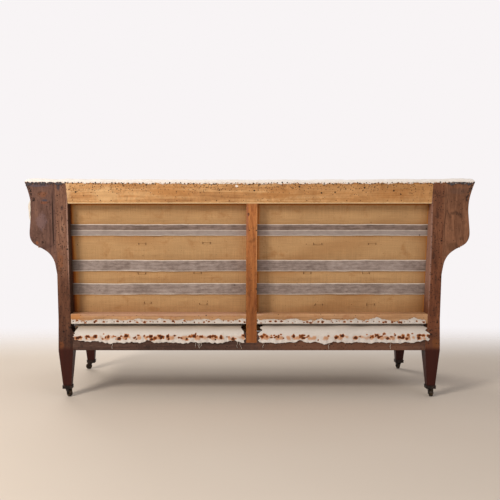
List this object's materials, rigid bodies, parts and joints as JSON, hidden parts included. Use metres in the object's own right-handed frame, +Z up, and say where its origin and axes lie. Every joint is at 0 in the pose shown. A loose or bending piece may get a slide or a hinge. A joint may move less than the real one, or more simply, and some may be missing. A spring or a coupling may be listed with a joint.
{
  "type": "wingback sofa",
  "caption": "Wingback sofa on casters, stripped of its outer covers to show frame, webbing, hessian and calico-covered stuffing.",
  "frame": {"origin": "on the floor, at the middle of the overall box", "axes": "+X to the sitter's left along the sofa, +Y out of the back, +Z up"},
  "size_m": [1.932, 0.7506, 0.9563],
  "materials": {
    "dark": "satin",
    "ear": "satin",
    "birch": "matte",
    "upright": "satin",
    "pine": "matte",
    "seat_rail": "satin",
    "beech": "matte",
    "hessian": "matte",
    "webbing": "matte",
    "spring_steel": "satin",
    "calico": "matte",
    "caster_iron": "satin",
    "caster_brass": "satin"
  },
  "bodies": {
    "sofa": {"rear_post_left": "dark", "rear_post_right": "dark", "arm_stump_left": "dark", "arm_stump_right": "dark", "front_leg_left": "dark", "front_leg_right": "dark", "ear_block_left": "ear", "ear_block_right": "ear", "top_rail": "birch", "centre_upright": "upright", "lower_back_rail_left": "pine", "lower_back_rail_right": "pine", "seat_rail_back": "seat_rail", "seat_rail_front": "seat_rail", "seat_rail_left": "seat_rail", "seat_rail_right": "seat_rail", "corner_blocks": "beech", "arm_rail_left": "beech", "arm_rail_right": "beech", "side_stay_rail_left": "beech", "side_stay_rail_right": "beech", "wing_rail_left": "beech", "wing_rail_right": "beech", "wing_post_left": "beech", "wing_post_right": "beech", "back_hessian": "hessian", "spring_hessian": "hessian", "side_hessian_left": "hessian", "side_hessian_right": "hessian", "back_webbing": "webbing", "seat_webbing": "webbing", "seat_springs": "spring_steel", "seat_pad": "calico", "seat_calico_left": "calico", "seat_calico_right": "calico", "rail_calico_left": "calico", "rail_calico_right": "calico", "inside_back_pad": "calico", "arm_pad_left": "calico", "arm_pad_right": "calico", "wing_pad_left": "calico", "wing_pad_right": "calico", "top_roll": "calico", "caster_cup_rear_left": "caster_iron", "caster_cup_rear_right": "caster_iron", "caster_cup_front_left": "caster_iron", "caster_cup_front_right": "caster_iron"},
    "swivel_rear_left": {"caster_horn_rear_left": "caster_iron", "caster_pin_rear_left": "caster_iron"},
    "wheel_rear_left": {"caster_wheel_rear_left": "caster_brass"},
    "swivel_rear_right": {"caster_horn_rear_right": "caster_iron", "caster_pin_rear_right": "caster_iron"},
    "wheel_rear_right": {"caster_wheel_rear_right": "caster_brass"},
    "swivel_front_left": {"caster_horn_front_left": "caster_iron", "caster_pin_front_left": "caster_iron"},
    "wheel_front_left": {"caster_wheel_front_left": "caster_brass"},
    "swivel_front_right": {"caster_horn_front_right": "caster_iron", "caster_pin_front_right": "caster_iron"},
    "wheel_front_right": {"caster_wheel_front_right": "caster_brass"}
  },
  "joints": [
    {"name": "swivel_rear_left", "type": "hinge", "parent": "sofa", "child": "swivel_rear_left", "pos_m": [0.8, 0.26869, 0.033], "axis": [0, 0, 1], "continuous": true},
    {"name": "roll_rear_left", "type": "hinge", "parent": "swivel_rear_left", "child": "wheel_rear_left", "pos_m": [0.79151, 0.27717, 0.0155], "axis": [-0.7071, -0.7071, 0], "continuous": true},
    {"name": "swivel_rear_right", "type": "hinge", "parent": "sofa", "child": "swivel_rear_right", "pos_m": [-0.8, 0.26869, 0.033], "axis": [0, 0, 1], "continuous": true},
    {"name": "roll_rear_right", "type": "hinge", "parent": "swivel_rear_right", "child": "wheel_rear_right", "pos_m": [-0.8, 0.28069, 0.0155], "axis": [-1, 0, 0], "continuous": true},
    {"name": "swivel_front_left", "type": "hinge", "parent": "sofa", "child": "swivel_front_left", "pos_m": [0.8, -0.32931, 0.033], "axis": [0, 0, 1], "continuous": true},
    {"name": "roll_front_left", "type": "hinge", "parent": "swivel_front_left", "child": "wheel_front_left", "pos_m": [0.812, -0.32931, 0.0155], "axis": [0, 1, 0], "continuous": true},
    {"name": "swivel_front_right", "type": "hinge", "parent": "sofa", "child": "swivel_front_right", "pos_m": [-0.8, -0.32931, 0.033], "axis": [0, 0, 1], "continuous": true},
    {"name": "roll_front_right", "type": "hinge", "parent": "swivel_front_right", "child": "wheel_front_right", "pos_m": [-0.79792, -0.34113, 0.0155], "axis": [0.9848, 0.1736, 0], "continuous": true}
  ]
}
